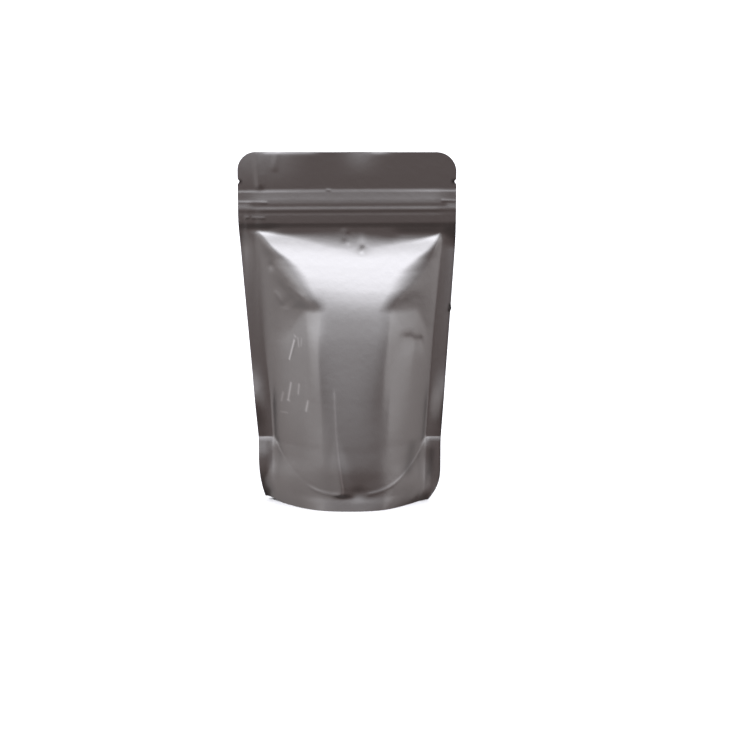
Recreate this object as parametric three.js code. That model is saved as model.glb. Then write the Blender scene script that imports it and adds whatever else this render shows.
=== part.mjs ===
import * as THREE from 'three';

// Millimetres. The pouch stands upright: x runs across, y from front (-y) to back, z up from the resting face.
const HEIGHT = 198;
const SEALED_HALF = 0.45;
const SKIRT_WALL = 0.9;
const SEAL_WIDTH = 8.8;

// The two side edges: half width at the top, and how the fill and the opened gusset draw each one in lower down.
const LEFT = { top: 60.2, taperFrom: 165, taper: 10.1, tuck: 3.4, tuckFrom: 25, tuckPower: 2, corner: 10 };
const RIGHT = { top: 60.2, taperFrom: 155, taper: 7.5, tuck: 7, tuckFrom: 20, tuckPower: 2.6, corner: 11 };
const TAPER_TO = 35;
const TAPER_EASE = 0.1;

// Header: a tear notch in each edge under the rounded corners.
const NOTCH_HEIGHT = 181.7;
const NOTCH_DEPTH = 1.3;
const NOTCH_HALF = 1.4;

// Zip: a strip welded inside with two closed tracks, as rises of the film at heights across the strip. The slack
// film below it swells a little from SLACK_FROM up.
const ZIP_HEIGHTS = [150, 155.9, 158.9, 162.8, 164.5, 166, 168.3, 169.3, 171, 173.4, 176.9, 177.6];
const ZIP_RISES = [0.75, 0.83, 1.14, 1.12, 1.04, 1.13, 0.9, 0.89, 0.77, 0.48, 0.1, 0];
const SLACK_FROM = 60;
const SEAL_FLATTENING = 0.55;

// Fill: depth of a panel along its centre line, from the foot up over the belly to the sloping shoulder.
const DEPTH_HEIGHTS = [0, 4, 8, 12, 20, 34, 46, 62, 79, 95, 103, 109, 114, 120, 125, 133, 142, 148.3];
const DEPTHS = [
  25.5, 25.1, 24.75, 24.7, 24.65, 23.7, 22.6, 20.9, 18.75, 16.5, 15.15, 14, 12.8, 10.95, 9.1, 5.9, 2.25, 0,
];
const SHOULDER_TOP = 148.3;
const RIM_LOW = 9;
const PEAK_X = 8.2;
const PEAK_RISE = 2.6;
const LEFT_FACET = 0.51;
const RIGHT_FACET = 0.475;
const PINCH_DEPTH = 13.6;
const LEFT_PINCH = 110;
const RIGHT_PINCH = 112;
const LEFT_SEAL_EXTRA = 2.6;
const RIGHT_SEAL_EXTRA = -0.4;
const SKIRT_INSET = 1;

// Bottom gusset: the U-shaped seal, the fold behind it and the sagging middle that touches the floor.
const GUSSET_SIDE = 36.5;
const GUSSET_MIDDLE = 9.2;
const GUSSET_RISE = 28;
const GUSSET_POWER = 3.1;
const SEAM_GROOVE = 0.4;
const SEAM_GROOVE_WIDTH = 3;
const SAG_INNER = 0.34;
const SAG_OUTER = 0.8;

const SEAL_COLUMNS = [1, 0.93, 0.872, 0.838];
const INNER_COLUMNS = 27;
const INNER_EDGE = 0.8;
const LOW_STEPS = 5;
const BELLY_STEPS = 10;
const SHOULDER_STEPS = 19;
const ROWS_LEVEL = 60;
const SKIRT_STEPS = 3;
const FILM_STEPS = 10;

const clamp = (value, low, high) => Math.min(Math.max(value, low), high);

const ease = (from, to, value) => {
  const t = clamp((value - from) / (to - from), 0, 1);
  return t * t * (3 - 2 * t);
};

const bell = (offset, width) => Math.exp(-((offset / width) ** 2));

const softMin = (a, b, radius) => {
  const h = clamp(0.5 + (0.5 * (b - a)) / radius, 0, 1);
  return b + (a - b) * h - radius * h * (1 - h);
};

// 0 below -width, the value itself above width, and a parabola between them.
const softRamp = (value, width) => {
  if (value > width) return value;
  return Math.max(0, value + width) ** 2 / (4 * width);
};

// Smooth curve through a few stations (monotone cubic).
const curve = (stations, values, at) => {
  const last = stations.length - 1;
  if (at <= stations[0]) return values[0];
  if (at >= stations[last]) return values[last];
  const slopeOf = (k) => (values[k + 1] - values[k]) / (stations[k + 1] - stations[k]);
  const tangent = (k) => {
    if (k === 0) return slopeOf(0);
    if (k === last) return slopeOf(last - 1);
    const before = slopeOf(k - 1);
    const after = slopeOf(k);
    return before * after <= 0 ? 0 : (2 * before * after) / (before + after);
  };
  let i = 0;
  while (at > stations[i + 1]) i += 1;
  const step = stations[i + 1] - stations[i];
  const t = (at - stations[i]) / step;
  const rise = values[i + 1] - values[i];
  const a = tangent(i) * step - rise;
  const b = rise - tangent(i + 1) * step;
  return values[i] + rise * t + t * (1 - t) * (a * (1 - t) + b * t);
};

const edgeHalf = (side, z) => {
  const t = clamp((side.taperFrom - z) / (side.taperFrom - TAPER_TO), 0, 1);
  const eased = t < TAPER_EASE ? (t * t) / (2 * TAPER_EASE) : t - TAPER_EASE / 2;
  const tuck = side.tuck * Math.max(0, (side.tuckFrom - z) / side.tuckFrom) ** side.tuckPower;
  const above = clamp(z - (HEIGHT - side.corner), 0, side.corner);
  const corner = side.corner - Math.sqrt(side.corner ** 2 - above ** 2);
  return side.top - (side.taper * eased) / (1 - TAPER_EASE / 2) - tuck - corner;
};

const sideOf = (u) => (u < 0 ? LEFT : RIGHT);

const acrossAt = (u, z) => {
  const notch = NOTCH_DEPTH * Math.max(0, 1 - Math.abs(z - NOTCH_HEIGHT) / NOTCH_HALF);
  return Math.sign(u) * (Math.abs(u) * edgeHalf(sideOf(u), z) - notch * ease(0.93, 1, Math.abs(u)));
};

// Height of the U-shaped gusset seal on the panel.
const gussetSeal = (x) => {
  const q = Math.abs(x - 1.5) / 43.5;
  return softMin(GUSSET_MIDDLE + GUSSET_RISE * q ** GUSSET_POWER, GUSSET_SIDE, 3);
};

// Gentle bends of the whole sheet, front and back together: bottom corners, skirt, side seals and header.
const bend = (u, x, z) => {
  const side = ease(0.84, 1, Math.abs(u));
  const rightCorner = -ease(0.4, 1, u) * Math.max(0, (36 - z) / 36) ** 1.2;
  const leftCorner = 3.5 * ease(0.25, 1, -u) * Math.max(0, (18 - z) / 18) ** 1.5;
  const skirt = -bell(x - 23, 13) * Math.max(0, (18 - z) / 18) ** 1.6;
  const flange = -2.3 * side * bell(z - 57.5, 13) * ease(34, 40, z);
  const wing = (u > 0 ? 2.7 : 1.7) * side * (clamp(z - 85, 0, 65) / 65) ** 1.6 * ease(166, 150, z);
  const flare = -1.5 * ease(0.8, 0.95, -u) * ease(38, 24, z);
  const lip = 0.9 * Math.max(0, (z - 184) / 14) ** 2 * bell(x - 7, 9);
  const curl = 0.0028 * Math.max(0, z - 178) ** 2 * ease(-20, -42, x);
  const lean = -0.06 * softRamp(z - 150, 8);
  return rightCorner + leftCorner + skirt + flange + wing + flare + lip + curl + lean;
};

const zipRelief = (x, z) => {
  const rise = curve([SLACK_FROM, ...ZIP_HEIGHTS], [0, ...ZIP_RISES], z);
  return (1 - SEAL_FLATTENING * ease(46, 58, Math.abs(x))) * (1 + 0.12 * (x / 50) ** 2) * rise;
};

// Filled form of a panel. Two side facets meet the centre in ridges from the top corners down to the pinches.
// Below the pinches two lobes swell out of the facets into a round belly.
const fillDepth = (x, z) => {
  const right = x > 0;
  const sealed = right ? ease(-14, 27, z) : ease(-8, 33, z);
  const seal = SEAL_WIDTH + (right ? RIGHT_SEAL_EXTRA : LEFT_SEAL_EXTRA) * ease(60, 130, z);
  const margin = SKIRT_INSET + (seal - SKIRT_INSET) * sealed;
  const half = edgeHalf(right ? RIGHT : LEFT, z) - margin;
  const crisp = 0.8 + (right ? 0.4 : 2.4) * ease(50, 100, z);
  const onset = crisp + (Math.min(4, margin - 0.3) - crisp) * ease(38, 32, z);
  const inward = softRamp(half - Math.abs(x), onset);
  const q = 1 - Math.min(inward, half) / half;
  const reach = Math.abs(x - RIM_LOW);
  const rim = (x > RIM_LOW ? 3.2 * (reach / 38.7) ** 4 : 5.2 * (reach / 54) ** 1.3) * ease(95, 130, z);
  const peak = PEAK_RISE * bell(x - PEAK_X, 4.6) * ease(140, 149, z);
  const soft = 0.8 + 5.2 * bell(x - 1, 24) - 2 * bell(x - PEAK_X, 5);
  const centre = curve(DEPTH_HEIGHTS, DEPTHS, z);
  const top = SHOULDER_TOP - softRamp(SHOULDER_TOP + rim + peak - z, soft);
  const shoulder = curve(DEPTH_HEIGHTS, DEPTHS, top);
  const leanTop = (right ? 0.2 : 0.3) * ease(138, 150, z);
  const lean = (right ? RIGHT_FACET - 0.07 * ease(120, 146, z) : LEFT_FACET) + leanTop;
  const lobeStart = PINCH_DEPTH + 2.5 * (right ? ease(0.75, 0.95, q) : ease(0.5, 0.75, q));
  const roll = 0.3 * (1 - Math.exp(-inward / 1.2));
  const facet = lean * inward * (1 + softRamp(centre / lobeStart - 1, 0.03)) + roll;
  const blend = Math.min(0.5 + 0.5 * shoulder, 3.8) - 1.3 * ease(8, 12, shoulder);
  const tent = Math.max(0, softMin(shoulder, facet, blend));
  const belly = centre * (1 - q ** (2.3 + 0.15 * sealed)) ** (0.9 + 0.1 * sealed);
  const lobeTop = right ? RIGHT_PINCH - 15 * ease(0.75, 0.97, q) : LEFT_PINCH - 15 * ease(0.45, 0.85, q);
  const below = softRamp(lobeTop - z, 3);
  const filled = 1 - Math.exp(-0.02 * below - (below / 58) ** 3);
  const swell = belly - tent;
  return tent + (swell > 0 ? swell : swell * ease(105, 45, z)) * filled;
};

// A dent along the falling line from a to b, deepest near b, with its own width above and below the line.
const trough = (x, z, a, b, depth, width, lower) => {
  const length = Math.hypot(b[0] - a[0], b[1] - a[1]);
  const dx = (b[0] - a[0]) / length;
  const dz = (b[1] - a[1]) / length;
  const along = (x - a[0]) * dx + (z - a[1]) * dz;
  const under = ((x - a[0]) * dz - (z - a[1]) * dx) * Math.sign(dx);
  const reach = ease(-width, 0.7 * length, along) * ease(length + 1.6 * width, length, along);
  return depth * reach * bell(under, under > 0 ? lower : width);
};

const seamGroove = (x, z) => SEAM_GROOVE * Math.max(0, 1 - Math.abs(z - gussetSeal(x)) / SEAM_GROOVE_WIDTH);

const frontHalf = (u, x, z) => {
  const depth = fillDepth(x, z);
  let dents = trough(x, z, [-40, 112], [-17, 110.3], 1.1, 5, 14);
  dents += trough(x, z, [-42, 129], [-32, 117], 0.4, 3, 5);
  dents += trough(x, z, [42, 118], [27, 112], 0.25, 4.5, 12);
  dents += seamGroove(x, z);
  return SEALED_HALF + zipRelief(x, z) + Math.max(0, depth - ease(0, 5, depth) * dents);
};

const backHalf = (u, x, z) => {
  const depth = fillDepth(x, z);
  let dents = trough(x, z, [-42, 131], [-20, 109], 2.4, 5, 7);
  dents += trough(x, z, [40, 133], [16, 113], 2.8, 5, 7);
  dents += seamGroove(x, z);
  return SEALED_HALF + zipRelief(x, z) + Math.max(0, depth - ease(0, 5, depth) * dents);
};

// Heights of the rows in column u. One row follows the U-shaped seam, and the rows level out above it.
const rowHeights = (u) => {
  let seam = GUSSET_MIDDLE;
  for (let k = 0; k < 6; k += 1) seam = gussetSeal(acrossAt(u, seam));
  const rows = [];
  for (let k = 0; k < LOW_STEPS; k += 1) rows.push((seam * k) / LOW_STEPS);
  for (let k = 0; k < BELLY_STEPS; k += 1) rows.push(seam + ((ROWS_LEVEL - seam) * k) / BELLY_STEPS);
  for (let k = 0; k < SHOULDER_STEPS; k += 1) {
    rows.push(ROWS_LEVEL + ((ZIP_HEIGHTS[0] - ROWS_LEVEL) * k) / SHOULDER_STEPS);
  }
  rows.push(...ZIP_HEIGHTS, NOTCH_HEIGHT - NOTCH_HALF, NOTCH_HEIGHT, NOTCH_HEIGHT + NOTCH_HALF);
  for (let k = 0; k <= 5; k += 1) {
    rows.push(HEIGHT - RIGHT.corner + RIGHT.corner * Math.sin((k * Math.PI) / 10));
  }
  return rows;
};

const columnPositions = () => {
  const inner = [];
  for (let k = 0; k < INNER_COLUMNS; k += 1) {
    inner.push(-INNER_EDGE + (2 * INNER_EDGE * k) / (INNER_COLUMNS - 1));
  }
  return [...SEAL_COLUMNS.map((u) => -u), ...inner, ...[...SEAL_COLUMNS].reverse()];
};

const liftAt = (u, z) => {
  const lift = (u < 0 ? 1.8 : 0.4) * ease(0.7, 1, Math.abs(u));
  return lift * Math.max(0, 1 - z / 25) ** 2;
};

const points = [];
const pushPoint = (x, y, z) => {
  points.push(x, y, z);
  return points.length / 3 - 1;
};

// One slice of the pouch as a closed ring: down the front, under the gusset and up the back.
const ringAt = (u) => {
  const rows = rowHeights(u);
  const ring = [];
  const surface = (z, half, sign) => {
    const x = acrossAt(u, z);
    const y = bend(u, x, z) + sign * half(u, x, z);
    return pushPoint(x, y, z + liftAt(u, z));
  };
  const down = [...rows].reverse();
  for (const z of down) ring.push(surface(z, frontHalf, -1));
  const frontRim = ring[ring.length - 1];
  const x0 = acrossAt(u, 0);
  const gapAt = (z, half) => half(u, acrossAt(u, z), z) - SKIRT_WALL;
  const open = Math.min(gapAt(0, frontHalf), gapAt(0, backHalf));
  const under = [];
  const steps = 2 * (SKIRT_STEPS + 1) + FILM_STEPS - 1;
  if (open > 0.3) {
    const top = Math.min(gussetSeal(x0), 5 * open);
    const insideAt = (z, half) => Math.max(0.15, gapAt(z, half));
    const put = (y, z) => {
      const x = acrossAt(u, z);
      under.push(pushPoint(x, bend(u, x, z) + y, z + liftAt(u, z)));
    };
    for (let k = 0; k <= SKIRT_STEPS; k += 1) {
      const z = (top * k) / SKIRT_STEPS;
      put(-insideAt(z, frontHalf), z);
    }
    const front = insideAt(top, frontHalf);
    const back = insideAt(top, backHalf);
    const sagShare = ease(SAG_OUTER, SAG_INNER, Math.abs(u));
    for (let k = 1; k < FILM_STEPS; k += 1) {
      const s = (2 * k) / FILM_STEPS - 1;
      const sag = sagShare * ease(1, 0.55, Math.abs(s));
      put((s * (front + back)) / 2 + (back - front) / 2, top * (1 - sag));
    }
    for (let k = SKIRT_STEPS; k >= 0; k -= 1) {
      const z = (top * k) / SKIRT_STEPS;
      put(insideAt(z, backHalf), z);
    }
  }
  const backPart = [];
  for (const z of rows) backPart.push(surface(z, backHalf, 1));
  if (under.length === 0) {
    for (let k = 0; k < steps; k += 1) under.push(k < steps / 2 ? frontRim : backPart[0]);
  }
  return { front: ring, under, back: backPart, loop: [...ring, ...under, ...backPart] };
};

const rings = columnPositions().map((u) => ringAt(u));

const faces = [];
const addFace = (a, b, c) => {
  if (a !== b && b !== c && c !== a) faces.push(a, b, c);
};
const gap = (a, b) => {
  const at = (index) => new THREE.Vector3(points[3 * index], points[3 * index + 1], points[3 * index + 2]);
  return at(a).distanceTo(at(b));
};
const addQuad = (a, b, c, d) => {
  if (gap(a, c) <= gap(b, d)) {
    addFace(a, b, c);
    addFace(a, c, d);
  } else {
    addFace(a, b, d);
    addFace(b, c, d);
  }
};

for (let i = 0; i + 1 < rings.length; i += 1) {
  const here = rings[i].loop;
  const next = rings[i + 1].loop;
  for (let j = 0; j < here.length; j += 1) {
    const k = (j + 1) % here.length;
    addQuad(here[j], here[k], next[k], next[j]);
  }
}
const last = rings.length - 1;
const rowCount = rings[0].front.length;
for (let j = 0; j + 1 < rowCount; j += 1) {
  const m = rowCount - 1 - j;
  addQuad(rings[0].front[j + 1], rings[0].front[j], rings[0].back[m], rings[0].back[m - 1]);
  addQuad(rings[last].front[j], rings[last].front[j + 1], rings[last].back[m - 1], rings[last].back[m]);
}

const geometry = new THREE.BufferGeometry();
geometry.setAttribute('position', new THREE.Float32BufferAttribute(points, 3));
geometry.setIndex(faces);

const foil = new THREE.MeshStandardMaterial({ color: 0x9a9494, roughness: 0.38, metalness: 0.9 });
foil.name = 'foil_laminate';
const pouch = new THREE.Mesh(geometry, foil);
pouch.name = 'pouch';

const group = new THREE.Group();
group.name = 'foil_stand_up_pouch';
group.add(pouch);
export default group;
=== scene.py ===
import math

import bpy
import numpy as np
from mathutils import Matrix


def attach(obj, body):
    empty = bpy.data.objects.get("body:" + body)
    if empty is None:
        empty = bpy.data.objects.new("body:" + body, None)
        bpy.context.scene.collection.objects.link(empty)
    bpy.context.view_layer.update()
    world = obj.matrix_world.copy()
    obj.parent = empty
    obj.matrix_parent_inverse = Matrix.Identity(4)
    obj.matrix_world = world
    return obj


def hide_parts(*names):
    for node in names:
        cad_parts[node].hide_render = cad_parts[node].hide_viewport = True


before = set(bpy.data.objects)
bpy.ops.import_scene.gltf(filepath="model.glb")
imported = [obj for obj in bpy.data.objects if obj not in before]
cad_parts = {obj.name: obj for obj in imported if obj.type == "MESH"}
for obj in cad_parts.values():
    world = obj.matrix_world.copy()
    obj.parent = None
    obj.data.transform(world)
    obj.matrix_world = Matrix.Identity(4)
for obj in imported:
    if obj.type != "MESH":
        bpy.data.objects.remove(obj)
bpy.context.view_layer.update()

# --------------------------------------------------------------------------------------------------------
# Pouch. The real piece is a filled, shut stand-up pouch of aluminium laminate film: a front and a back
# panel heat sealed down both sides, a press-to-close zip under a plain header, and a folded gusset sealed
# in with a U-shaped seam, so that the base opens into a lens. The film has creased where the fill pushed it
# out. Millimetres: x runs across, y from the front (-y) to the back, z up from the floor.
# --------------------------------------------------------------------------------------------------------

HEIGHT = 198.0
HALF_WIDTH = 60.2
SEALED_HALF = 0.25
SKIRT_WALL = 0.5
SEAL_WIDTH = 8.8
NOTCH_HEIGHT = 181.7
ZIP_SLOPE = 0.005
SHOULDER_TOP = 148.3
SHOULDER_LOW_X = 9.0
PEAK_X = 8.2
PINCH_DEPTH = 13.6
LEFT_PINCH = 110.0
RIGHT_PINCH = 112.0
SEAM_MIDDLE = 9.2
SEAM_RISE = 28.0
SEAM_TOP = 36.5


def ease(a, b, x):
    """0 before a, 1 after b, with a smooth cubic between."""
    t = np.clip((x - a) / (b - a), 0.0, 1.0)
    return t * t * (3.0 - 2.0 * t)


def bell(offset, width):
    """1 on the line, falling off as a Gauss curve of this width."""
    return np.exp(-((offset / width) ** 2))


def soft_min(a, b, radius):
    """The smaller of a and b, rounded over where they meet."""
    h = np.clip(0.5 + 0.5 * (b - a) / radius, 0.0, 1.0)
    return b + (a - b) * h - radius * h * (1.0 - h)


def soft_ramp(x, width):
    """0 below -width, x above width, and a parabola between them."""
    return np.where(x > width, x, np.maximum(0, x + width) ** 2 / (4 * width))


def smooth_curve(x, stations, values):
    """Monotone cubic through the stations: each piece is a Hermite cubic with harmonic-mean slopes."""
    s, v = np.asarray(stations, float), np.asarray(values, float)
    slope = np.diff(v) / np.diff(s)
    tangent = np.concatenate([slope[:1], np.zeros(len(s) - 2), slope[-1:]])
    before, after = slope[:-1], slope[1:]
    same = before * after > 0
    tangent[1:-1][same] = 2 * before[same] * after[same] / (before[same] + after[same])
    x = np.clip(x, s[0], s[-1])
    i = np.clip(np.searchsorted(s, x, side="right") - 1, 0, len(s) - 2)
    step, rise = (s[1:] - s[:-1])[i], (v[1:] - v[:-1])[i]
    t = (x - s[i]) / step
    a, b = tangent[i] * step - rise, rise - tangent[i + 1] * step
    return v[i] + rise * t + t * (1 - t) * (a * (1 - t) + b * t)


def edge_half(right, z):
    """Half width at height z: rounded top corner, straight header, even taper, tucked-in bottom corner."""
    start = np.where(right, 155.0, 165.0)
    t = np.clip((start - z) / (start - 35.0), 0.0, 1.0)
    eased = np.where(t < 0.1, t * t / 0.2, t - 0.05) / 0.95
    tuck = np.where(
        right,
        7.0 * np.maximum(0, (20.0 - z) / 20.0) ** 2.6,
        3.4 * np.maximum(0, (25.0 - z) / 25.0) ** 2,
    )
    radius = np.where(right, 11.0, 10.0)
    above = np.clip(z - HEIGHT + radius, 0.0, radius)
    corner = radius - np.sqrt(np.maximum(0, radius**2 - above**2))
    return HALF_WIDTH - np.where(right, 7.5, 10.1) * eased - tuck - corner


def across(u, z):
    """x of column u at height z: the share u of the half width, less the tear notch at the edge. A small nib
    of film stands out on the right."""
    notch = 1.3 * np.maximum(0, 1 - np.abs(z - NOTCH_HEIGHT) / 1.4)
    nib = np.where(u > 0, 0.6, 0) * bell(z - 110.6, 1.0)
    return np.sign(u) * (np.abs(u) * edge_half(u > 0, z) - (notch - nib) * ease(0.93, 1.0, np.abs(u)))


def gusset_seal(x):
    """Height of the U-shaped seam: a steep power curve of |x|, levelling off at the side seals."""
    q = np.abs(x - 1.5) / 43.5
    return soft_min(SEAM_MIDDLE + SEAM_RISE * q**3.1, SEAM_TOP, 3.0)


def crease(x, z, a, b, width):
    """1 along the segment from a to b, with a Gauss cross-section and ends that fade over twice the width."""
    length = math.hypot(b[0] - a[0], b[1] - a[1])
    dx, dz = (b[0] - a[0]) / length, (b[1] - a[1]) / length
    along = (x - a[0]) * dx + (z - a[1]) * dz
    fade = ease(-width, width, along) * ease(length + width, length - width, along)
    return fade * bell((x - a[0]) * dz - (z - a[1]) * dx, width)


def bend(u, x, z):
    """How far the whole sheet, front and back together, bends back: bottom corners, side seals and header."""
    edge = np.abs(u)
    side = ease(0.84, 1.0, edge)
    right = -0.3 * ease(0.4, 1.0, u) * np.maximum(0, (36.0 - z) / 36.0) ** 1.2
    right = right - 0.8 * ease(0.55, 0.85, u) * np.maximum(0, (10.0 - z) / 10.0) ** 1.5
    left = 3.5 * ease(0.25, 1.0, -u) * np.maximum(0, (18.0 - z) / 18.0) ** 1.5
    skirt = -1.0 * bell(x - 23, 13) * np.maximum(0, (18.0 - z) / 18.0) ** 1.6
    flange = np.where(u > 0, -1.6, -2.3) * side * bell(z - 57.5, 13) * ease(34, 40, z)
    step = -0.3 * ease(0.82, 0.88, edge) * ease(36.9, 36.1, z)
    wing = np.where(u > 0, 2.7, 1.7) * side * (np.clip(z - 85, 0, 65) / 65.0) ** 1.6 * ease(160, 144, z)
    flare = -1.5 * ease(0.80, 0.95, -u) * ease(38, 24, z)
    lip = 0.9 * np.maximum(0, (z - 184.0) / 14.0) ** 2 * bell(x - 7, 9)
    curl = 0.0028 * np.maximum(0, z - 178.0) ** 2 * ease(-20, -42, x)
    rolled = 0.3 * bell(z - 198.4, 1.1) * (ease(-48, -44, x) * ease(-12, -22, x) + bell(x - 18, 6))
    streaks = 0.4 * crease(x, z, (-49.5, 199), (-48, 178), 2.4)
    streaks = streaks + 0.2 * crease(x, z, (-38, 199), (-40, 188), 2.0)
    line = -(0.05 + 0.08 * (x / 50.0) ** 2) * ease(176.9, 175.7, z - ZIP_SLOPE * x)
    lean = -0.06 * soft_ramp(z - 150.0, 8.0)
    low = right + left + skirt + flange + step + wing + flare
    return low + lip + curl + rolled - streaks + line + lean


def zip_relief(x, z):
    """Rise of the film from the header over the zip strip and its two tracks, and of the slack film below
    it, pressed flat where the side seals cross them."""
    heights = (60, 150, 155.9, 157.2, 158.9, 162.8, 164.5, 166, 168.3, 169.3, 171, 173.4, 174.9, 176.9, 177.6)
    rises = (0, 0.75, 0.83, 0.95, 1.14, 1.12, 1.04, 1.13, 0.9, 0.89, 0.77, 0.48, 0.31, 0.1, 0.0)
    end = 0.45 * ease(171.5, 166.5, z) * ease(-50, -56, x) + 0.3 * ease(171.0, 167.0, z) * ease(53, 57, x)
    flat = 0.35 * bell(z - 152.5, 3.0) * ease(22, 32, x) + 0.35 * bell(z - 155.0, 2.2) * ease(-34, -44, x)
    strip = (1 + 0.12 * (x / 50.0) ** 2) * (smooth_curve(z - ZIP_SLOPE * x, heights, rises) - flat)
    return (1 - 0.55 * ease(46.0, 58.0, np.abs(x))) * strip + end * ease(60.0, 150.0, z)


def fill_depth(x, z):
    """Depth of a filled panel. The centre follows a profile curve up to the sloping shoulder. Two side facets
    meet it in ridges from the top corners to the pinches. Below them two lobes climb out of the facets to a
    round belly."""
    heights = (0, 4, 8, 12, 20, 34, 46, 62, 79, 95, 103, 109, 114, 120, 125, 133, 142, SHOULDER_TOP)
    depths = (
        25.7, 25.2, 24.75, 24.68, 24.65, 23.7, 22.6, 20.9, 18.75,
        16.5, 15.15, 14.0, 12.8, 10.95, 9.1, 5.9, 2.25, 0,
    )
    right = x > 0
    sealed = np.where(right, ease(-14.0, 27.0, z), ease(-12.0, 29.0, z))
    seal = SEAL_WIDTH + np.where(right, -0.4 * ease(60.0, 130.0, z), 3.4 * ease(32.0, 112.0, z))
    margin = 1.0 + (seal - 1.0) * sealed
    half = edge_half(right, z) - margin
    onset = 0.8 + np.where(right, 0.4, 3.7) * ease(50.0, 100.0, z)
    onset = onset + (np.minimum(4.0, margin - 0.3) - onset) * ease(38.0, 32.0, z)
    inward = soft_ramp(half - np.abs(x), onset)
    q = 1 - np.minimum(inward, half) / half
    reach = np.abs(x - SHOULDER_LOW_X)
    rim = np.where(x > SHOULDER_LOW_X, 3.2 * (reach / 38.7) ** 4, 5.2 * (reach / 54.0) ** 1.3)
    peak = 3.0 * np.exp(-np.hypot(x - PEAK_X, 0.6) / 3.4) * ease(140.0, 149.0, z)
    soft = 0.6 + 5.2 * bell(x - 1, 24) - 2.0 * bell(x - PEAK_X, 5.0)
    centre = smooth_curve(z, heights, depths)
    fall = soft_ramp(SHOULDER_TOP + rim * ease(95.0, 130.0, z) + peak - z, soft)
    shoulder = smooth_curve(SHOULDER_TOP - fall, heights, depths)
    lean = np.where(right, 0.475, 0.50) - np.where(right, 0.07, 0.0) * ease(120.0, 146.0, z)
    lean = lean + np.where(right, 0.2, 0.3) * ease(138.0, 150.0, z)
    lean = lean + np.where(right, 0.0, 0.03) * ease(124.0, 110.0, z)
    start = PINCH_DEPTH + 2.5 * np.where(right, ease(0.75, 0.95, q), ease(0.5, 0.75, q))
    swell = 1 + soft_ramp(centre / start - 1, 0.03)
    roll = np.where(right, 0.3, 0.15) * (1 - np.exp(-inward / 1.2))
    facet = lean * inward * swell + roll
    blend = np.minimum(0.5 + 0.5 * shoulder, 3.8) - 1.3 * ease(8.0, 12.0, shoulder)
    tent = np.maximum(0, soft_min(shoulder, facet, blend))
    belly = centre * (1 - q ** (2.3 + 0.15 * sealed)) ** (0.9 + 0.1 * sealed)
    top = np.where(right, RIGHT_PINCH - 15 * ease(0.75, 0.97, q), LEFT_PINCH - 15 * ease(0.45, 0.85, q))
    below = soft_ramp(top - z, 3.0)
    filled = 1 - np.exp(-0.02 * below - (below / 58.0) ** 3)
    rise = belly - tent
    return tent + np.where(rise > 0, rise, rise * ease(105.0, 45.0, z)) * filled


def trough(x, z, a, b, depth, width, lower):
    """A dent along the line from a to b, deepest near b: a Gauss curve of one width above, another below."""
    length = math.hypot(b[0] - a[0], b[1] - a[1])
    dx, dz = (b[0] - a[0]) / length, (b[1] - a[1]) / length
    along = (x - a[0]) * dx + (z - a[1]) * dz
    under = ((x - a[0]) * dz - (z - a[1]) * dx) * np.sign(dx)
    reach = ease(-width, 0.7 * length, along) * ease(length + 1.6 * width, length, along)
    return depth * reach * bell(under, np.where(under > 0, lower, width))


def off_crease(x, z):
    """Distance from the light upright crease near the middle, which wanders as it runs down to the seam."""
    return x - smooth_curve(z, (8, 11, 19, 29, 39, 67), (-2.8, -2.2, -3.2, -4.6, -5.6, -7.2))


def belly_creases(x, z):
    """Height of the long upright creases: one along each lobe's inner side and a light one between."""
    lobes = 0.45 * np.exp(-np.hypot(x - 23.6, 1.0) / 5) * ease(114, 92, z) * ease(15, 45, z)
    lobes = lobes + 0.35 * np.exp(-np.hypot(x + 14.0, 1.0) / 5) * ease(114, 92, z) * ease(10, 30, z)
    middle = (0.12 + 0.75 * ease(42, 13, z)) * bell(off_crease(x, z), 1.0 + 3.2 * ease(45, 20, z))
    return lobes + middle * ease(70, 62, z) * ease(7, 10, z)


def small_marks(x, z):
    """Height of the film's small marks: dimples in the belly, bumps over the shoulder, nicks at the zip."""
    height = -0.3 * bell(x + 42.2, 1.6) * bell(z - 135.0, 2.2)
    height = height - trough(x, z, (29.5, 95.5), (34.5, 95), 0.5, 3.0, 9.0)
    height = height - trough(x, z, (37, 93), (40, 93.5), 0.4, 2.2, 6.0)
    for a, b, width, rise in (
        ((-1.7, 155.0), (-1.9, 149.0), 1.8, 0.20),
        ((0.8, 153.0), (0.6, 147.0), 1.2, -0.14),
        ((8.6, 145.6), (8.0, 142.4), 1.1, -0.25),
        ((-32.7, 124.6), (-23.8, 118.2), 1.2, 0.10),
        ((-40.0, 120.3), (-35.6, 113.9), 1.2, 0.10),
        ((-60.0, 170.2), (-44.0, 170.0), 0.7, 0.12),
        ((-56.6, 161.6), (-45.2, 161.4), 0.7, 0.12),
        ((-55.8, 158.4), (-53.0, 162.0), 0.7, -0.14),
        ((52.0, 171.2), (60.0, 170.9), 0.7, 0.12),
        ((-11.5, 177.2), (-9.0, 176.9), 0.7, 0.12),
    ):
        height = height + rise * crease(x, z, a, b, width)
    return height


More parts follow.
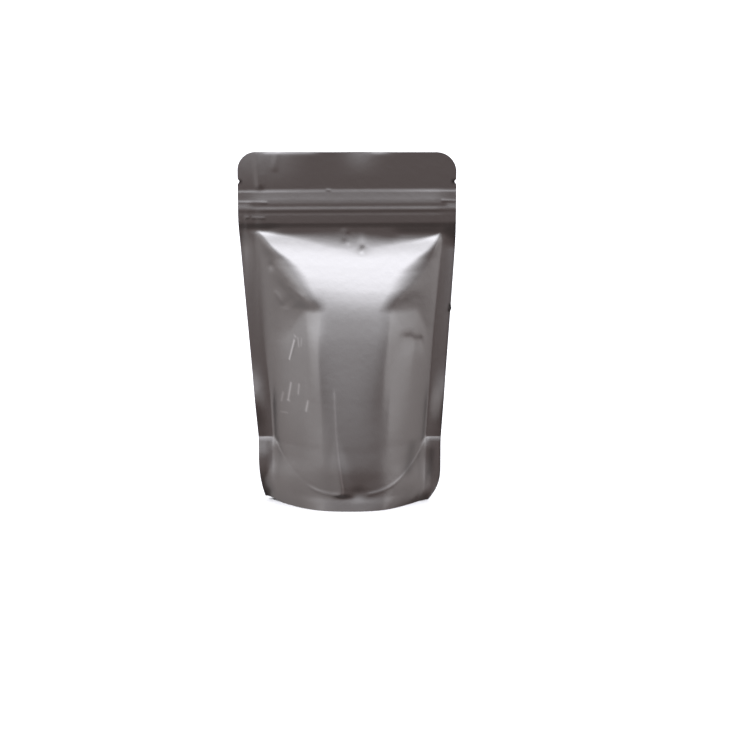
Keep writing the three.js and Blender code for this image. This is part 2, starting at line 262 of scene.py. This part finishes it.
def scuffs_and_painted_shade(x, z):
    """0 on clean film; towards 1 where handling has scratched it light, and lighter along the light
    upright crease near the middle; below 0 where it is darker: beside the long scratch, and with painted
    shade at the notches, the nib and the bottom corners and in two soft strokes at the lower right, which
    the film's form doesn't give."""
    value = (0.22 + 0.2 * ease(30, 12, z)) * bell(off_crease(x, z), 0.5) * ease(70, 64, z) * ease(8, 11, z)
    for a, b, width, amount in (
        ((-29.3, 94.5), (-32.3, 82.6), 0.4, 0.75),
        ((-27.9, 94.0), (-31.6, 82.9), 0.4, -0.15),
        ((-29.6, 96.8), (-28.2, 95.6), 0.4, 0.35),
        ((-27.4, 96.0), (-26.8, 90.5), 0.4, 0.25),
        ((-25.2, 96.0), (-25.6, 91.0), 0.4, 0.2),
        ((-31.3, 70.3), (-33.0, 60.1), 0.5, 0.5),
        ((-33.8, 60.0), (-31.8, 59.6), 0.4, 0.4),
        ((-26.7, 70.2), (-27.3, 64.0), 0.5, 0.35),
        ((-21.7, 61.6), (-22.9, 55.3), 0.5, 0.45),
        ((-35.8, 64.2), (-37.0, 58.5), 0.6, 0.25),
        ((-37.6, 52.5), (-33.1, 52.7), 0.4, 0.2),
        # Painted shadow in the two tear notches.
        ((-60.2, 181.7), (-58.0, 181.7), 1.1, -0.9),
        ((60.2, 181.7), (57.6, 181.9), 1.3, -0.9),
        # Painted shadow at the nib on the right edge.
        ((57.2, 113.0), (56.6, 108.5), 0.8, -0.7),
        # Painted shade: two soft strokes low on the right, where the film's form casts none.
        ((37.0, 36.0), (33.5, 18.0), 3.0, -0.33),
        ((47.8, 30.0), (46.2, 13.0), 2.0, -0.35),
        # Painted shadow at the tips of the two bottom corners.
        ((46.6, 0.0), (44.0, 1.5), 1.2, -0.8),
        ((-48.0, 1.0), (-46.0, 2.5), 1.0, -0.8),
    ):
        value = value + amount * crease(x, z, a, b, width)
    return value


def front_half(x, z):
    """Distance of the front film from the middle plane: the fill less its dents and creases, and the zip."""
    depth = fill_depth(x, z)
    strength = ease(0.0, 5.0, depth)
    above = z - gusset_seal(x)
    dents = trough(x, z, (-43, 112.5), (-18.5, 110.3), 1.1, 5.0, 14.0)
    dents = dents + trough(x, z, (-42, 129), (-32, 117), 0.4, 3.0, 5.0)
    dents = dents + trough(x, z, (42, 118), (27, 112), 0.25, 4.5, 12.0)
    dents = dents + 0.35 * bell(x - 6, 4) * bell(z - 10, 3.2)
    dents = dents + 0.08 * (soft_ramp(-above, 1.5) - soft_ramp(-above - 17, 3.0)) * ease(20, 34, x)
    pressed = ease(-24, -18, x) * ease(-2, -5, x) + ease(10, 13, x) * ease(36, 30, x)
    pressed = np.minimum(pressed + ease(34, 38, np.abs(x + 1)), 1)
    dents = dents + 0.04 * bell(above - 1.6, 1.6) - 0.15 * pressed * bell(above, 0.8)
    fill = depth - strength * dents + small_marks(x, z) + strength * belly_creases(x, z)
    return SEALED_HALF + zip_relief(x, z) + np.maximum(0, fill)


def back_half(x, z):
    """The same for the back film, with the creases that a filling like this leaves there."""
    depth = fill_depth(x, z)
    strength = ease(0.0, 5.0, depth)
    dents = trough(x, z, (-42, 131), (-20, 109), 2.4, 5.0, 7.0)
    dents = dents + trough(x, z, (40, 133), (16, 113), 2.8, 5.0, 7.0)
    dents = dents + 1.2 * bell(z - gusset_seal(x) - 2, 3)
    return SEALED_HALF + zip_relief(x, z) + np.maximum(0, depth - strength * dents)


def lift(u, z):
    """The bottom corners stand a little off the floor."""
    rise = np.where(u < 0, 1.8, 0.4) * ease(0.7, 1.0, np.abs(u))
    return rise * np.maximum(0, 1 - z / 25.0) ** 2


def sheet_points(u, z, half, sign):
    """Points of one panel over the grid u by z: x from the outline, y from the bend and the panel's depth."""
    x = across(u, z)
    return np.stack([x, bend(u, x, z) + sign * half(x, z), z + lift(u, z)], axis=-1)


def underside(u, skirt_steps, film_steps):
    """Inside of the two skirts and the gusset film between them, from the front rim to the back rim."""
    zero = np.zeros_like(u)
    x0 = across(u, zero)

    def inside(z, half):
        """Distance of the skirt's inner face from the middle plane."""
        return half(across(u, z), z) - SKIRT_WALL

    opened = np.minimum(inside(zero, front_half), inside(zero, back_half))
    shut = opened < 0.3
    top = np.where(shut, 0.0, np.minimum(gusset_seal(x0), 5 * opened))
    sag_share = ease(0.8, 0.34, np.abs(u))
    rows = []

    def put(y, z):
        x = across(u, z)
        rows.append(np.stack([x, bend(u, x, z) + y, z + lift(u, z)], axis=-1))

    rim = SEALED_HALF * 0.6
    for k in range(skirt_steps + 1):
        z = top * k / skirt_steps
        y = np.maximum(0.1, inside(z, front_half))
        put(-np.where(shut, rim, y), z)
    front = np.where(shut, rim, np.maximum(0.1, inside(top, front_half)))
    back = np.where(shut, rim, np.maximum(0.1, inside(top, back_half)))
    for k in range(1, film_steps):
        s = 2 * k / film_steps - 1
        sag = sag_share * ease(1.0, 0.55, abs(s))
        put(s * (front + back) / 2 + (back - front) / 2, top * (1 - sag))
    for k in range(skirt_steps, -1, -1):
        z = top * k / skirt_steps
        y = np.maximum(0.1, inside(z, back_half))
        put(np.where(shut, rim, y), z)
    return np.stack(rows, axis=1)


def row_heights(u):
    """Heights of the rows in column u: one row follows the U-shaped seam, and the rows level out above it."""
    seam = np.full_like(u, 8.3)
    for _ in range(6):
        seam = gusset_seal(across(u, seam))
    low = seam[:, None] * np.linspace(0, 1, 14, endpoint=False)
    belly = seam[:, None] + (60 - seam[:, None]) * np.linspace(0, 1, 62, endpoint=False)
    level = np.concatenate([
        np.linspace(60, 100, 52, endpoint=False),
        np.linspace(100, 150, 62, endpoint=False),
        np.linspace(150, 180, 62, endpoint=False),
        np.linspace(180, 188, 16, endpoint=False),
        188 + 10 * np.sin(np.linspace(0, np.pi / 2, 13)),
    ])
    return np.concatenate([low, belly, np.tile(level, (len(u), 1))], axis=1)


u_columns = np.concatenate([
    np.linspace(-1, -0.83, 26, endpoint=False),
    np.linspace(-0.83, -0.74, 10, endpoint=False),
    np.linspace(-0.74, -0.42, 44, endpoint=False),
    np.linspace(-0.42, 0.83, 105, endpoint=False),
    np.linspace(0.83, 1, 27),
])
zz = row_heights(u_columns)
uu = np.repeat(u_columns[:, None], zz.shape[1], axis=1)
front_grid = sheet_points(uu, zz, front_half, -1)[:, ::-1]
under_grid = underside(u_columns, 5, 26)
back_grid = sheet_points(uu[:, ::2], zz[:, ::2], back_half, 1)
loop = np.concatenate([front_grid, under_grid, back_grid], axis=1)
n_u, n_loop = loop.shape[:2]
n_front, n_under, n_back = front_grid.shape[1], under_grid.shape[1], back_grid.shape[1]

index = np.arange(n_u * n_loop).reshape(n_u, n_loop)
turned = np.roll(index, -1, axis=1)
quads = np.stack([index[:-1], turned[:-1], turned[1:], index[1:]], axis=-1).reshape(-1, 4)
caps = []
for column, flip in ((index[0], True), (index[-1], False)):
    for m in range(n_back - 1):
        back_low = column[n_front + n_under + m]
        back_high = column[n_front + n_under + m + 1]
        k = n_front - 1 - 2 * m
        ring = [column[k - 2], column[k - 1], column[k]]
        if m == 0:
            ring += list(column[n_front:n_front + n_under])
        ring += [back_low, back_high]
        caps.append([int(i) for i in (ring[::-1] if flip else ring)])

pouch_mesh = bpy.data.meshes.new("pouch_film")
pouch_mesh.from_pydata((loop.reshape(-1, 3) / 1000.0).tolist(), [], quads.tolist() + caps)
pouch_mesh.update()
pouch_mesh.set_sharp_from_angle(angle=math.radians(50))
# Painted shade: a thin dark band along the film's right edge below the zip.
painted_dark_edge = 0.25 * ease(0.975, 0.99, uu) * ease(175, 150, zz)
# Tone of the front film per point: light scratches and a light crease line, and painted shade below 0.
wear_and_painted_shade = np.zeros((n_u, n_loop), dtype=np.float32)
wear_and_painted_shade[:, :n_front] = (scuffs_and_painted_shade(across(uu, zz), zz) - painted_dark_edge)[:, ::-1]
pouch_mesh.attributes.new("wear_and_painted_shade", "FLOAT", "POINT").data.foreach_set("value", wear_and_painted_shade.ravel())
pouch = bpy.data.objects.new("pouch_film", pouch_mesh)
bpy.context.scene.collection.objects.link(pouch)

foil = bpy.data.materials.new("foil_laminate")
foil.use_nodes = True
nodes, links = foil.node_tree.nodes, foil.node_tree.links
nodes.clear()
surface = nodes.new("ShaderNodeBsdfPrincipled")
output = nodes.new("ShaderNodeOutputMaterial")
links.new(surface.outputs["BSDF"], output.inputs["Surface"])
wear_and_shade_value = nodes.new("ShaderNodeAttribute")
wear_and_shade_value.attribute_name = "wear_and_painted_shade"
wear_and_shade_range = nodes.new("ShaderNodeMapRange")
wear_and_shade_range.inputs["From Min"].default_value = -1.0
# Tone ramp: below its middle it darkens the foil as painted shade, above it lightens the scratches.
tone = nodes.new("ShaderNodeValToRGB")
tone.color_ramp.elements[0].color = (0.02, 0.018, 0.018, 1)
tone.color_ramp.elements[1].color = (0.85, 0.85, 0.87, 1)
tone.color_ramp.elements.new(0.5).color = (0.335, 0.33, 0.333, 1)
links.new(wear_and_shade_value.outputs["Fac"], wear_and_shade_range.inputs["Value"])
links.new(wear_and_shade_range.outputs["Result"], tone.inputs["Fac"])
links.new(tone.outputs["Color"], surface.inputs["Base Color"])
surface.inputs["Metallic"].default_value = 1.0
surface.inputs["Roughness"].default_value = 0.28
coords = nodes.new("ShaderNodeTexCoord")
ripple = nodes.new("ShaderNodeTexNoise")
ripple.inputs["Scale"].default_value = 260.0
ripple.inputs["Detail"].default_value = 4.0
relief = nodes.new("ShaderNodeBump")
relief.inputs["Strength"].default_value = 0.25
relief.inputs["Distance"].default_value = 0.0002
links.new(coords.outputs["Object"], ripple.inputs["Vector"])
links.new(ripple.outputs["Fac"], relief.inputs["Height"])
links.new(relief.outputs["Normal"], surface.inputs["Normal"])
pouch_mesh.materials.append(foil)

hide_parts("pouch")
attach(pouch, "root")

# --------------------------------------------------------------------------------------------------------
# Studio floor: a pale plain table top under the pouch. It is kept out of reflections and shadow rays, as if
# a black flag lay in front of the pouch, so that the film mirrors the dim room below the horizon.
# --------------------------------------------------------------------------------------------------------

floor_mesh = bpy.data.meshes.new("floor")
FLOOR_HALF = 8.0
corners = [(-1, -1), (1, -1), (1, 1), (-1, 1)]
floor_mesh.from_pydata([(FLOOR_HALF * x, FLOOR_HALF * y, 0) for x, y in corners], [], [(0, 1, 2, 3)])
floor = bpy.data.objects.new("floor", floor_mesh)
bpy.context.scene.collection.objects.link(floor)
floor.visible_glossy = False
floor.visible_shadow = False
paper = bpy.data.materials.new("paper")
paper.use_nodes = True
paper.node_tree.nodes["Principled BSDF"].inputs["Base Color"].default_value = (0.56, 0.56, 0.56, 1)
paper.node_tree.nodes["Principled BSDF"].inputs["Roughness"].default_value = 0.9
floor_mesh.materials.append(paper)

# --------------------------------------------------------------------------------------------------------
# Light and camera: a soft dome, dim and warm below the horizon and bright overhead, with plain panels of dim
# light round the left and the right of the pouch, and a long lens a little above it.
# --------------------------------------------------------------------------------------------------------

world = bpy.data.worlds.new("room")
bpy.context.scene.world = world
world.use_nodes = True
w_nodes, w_links = world.node_tree.nodes, world.node_tree.links
w_nodes.clear()
w_out = w_nodes.new("ShaderNodeOutputWorld")
w_back = w_nodes.new("ShaderNodeBackground")
w_ramp = w_nodes.new("ShaderNodeValToRGB")
w_split = w_nodes.new("ShaderNodeSeparateXYZ")
w_coord = w_nodes.new("ShaderNodeTexCoord")
w_shift = w_nodes.new("ShaderNodeMapRange")
w_links.new(w_coord.outputs["Generated"], w_split.inputs["Vector"])
w_links.new(w_split.outputs["Z"], w_shift.inputs["Value"])
w_shift.inputs["From Min"].default_value = -1.0
w_links.new(w_shift.outputs["Result"], w_ramp.inputs["Fac"])
w_links.new(w_ramp.outputs["Color"], w_back.inputs["Color"])
w_links.new(w_back.outputs["Background"], w_out.inputs["Surface"])
BRIGHTEST = 4.0
w_back.inputs["Strength"].default_value = BRIGHTEST
room_light = (
    (-90, (0.22, 0.21, 0.22)),
    (-50, (0.10, 0.08, 0.075)),
    (-32, (0.088, 0.069, 0.064)),
    (-20, (0.152, 0.113, 0.105)),
    (-12, (0.198, 0.141, 0.129)),
    (-5, (0.27, 0.235, 0.23)),
    (0, (0.42, 0.39, 0.39)),
    (5, (0.60, 0.57, 0.575)),
    (10, (0.82, 0.80, 0.81)),
    (20, (1.28, 1.27, 1.31)),
    (30, (2.4, 2.4, 2.5)),
    (38, (3.5, 3.53, 3.7)),
    (90, (3.1, 3.1, 3.25)),
)
stops = w_ramp.color_ramp.elements
for k, (angle, colour) in enumerate(room_light):
    place = 0.5 + 0.5 * math.sin(math.radians(angle))
    stop = stops[0] if k == 0 else stops[-1] if k == len(room_light) - 1 else stops.new(place)
    stop.position = place
    stop.color = tuple(c / BRIGHTEST for c in colour) + (1,)


def soft_box(name, x, y, z, width, height, glow):
    """A plain upright rectangle of light with its centre at x, y, z. It faces the pouch's upright axis, and
    glow is its brightness as seen in the film."""
    data = bpy.data.lights.new(name, "AREA")
    data.shape = "RECTANGLE"
    data.size = width
    data.size_y = height
    data.energy = glow * math.pi * width * height
    lamp = bpy.data.objects.new(name, data)
    bpy.context.scene.collection.objects.link(lamp)
    lamp.location = (x, y, z)
    lamp.rotation_euler = (math.pi / 2, 0, math.atan2(x, -y))


soft_box("left_strip", -0.9, -0.795, 0.19, 0.9, 0.52, 0.42)
soft_box("left_wall", -1.2, -0.11, 0.19, 0.62, 0.52, 0.28)
soft_box("left_low", -0.89, -0.8, -0.44, 1.56, 0.76, 0.245)
soft_box("left_fill", -1.2, 0.25, -0.45, 0.9, 1.0, 0.28)
soft_box("right_strip", 1.05, -0.65, 0.24, 0.5, 0.98, 0.46)
soft_box("right_fill", 1.25, 0.1, 0.0, 1.2, 1.05, 0.275)

cam_data = bpy.data.cameras.new("camera")
cam_data.sensor_width = 36.0
cam_data.lens = 105.445
cam_data.clip_start = 0.05
camera = bpy.data.objects.new("camera", cam_data)
bpy.context.scene.collection.objects.link(camera)
elevation = math.radians(12.0)
away = 1.2
aim_x = 0.00993
aim_z = 0.07832
camera.location = (aim_x, -away * math.cos(elevation), aim_z + away * math.sin(elevation))
camera.rotation_euler = (math.pi / 2 - elevation, 0, 0)
bpy.context.scene.camera = camera
bpy.context.scene.view_settings.view_transform = "Standard"
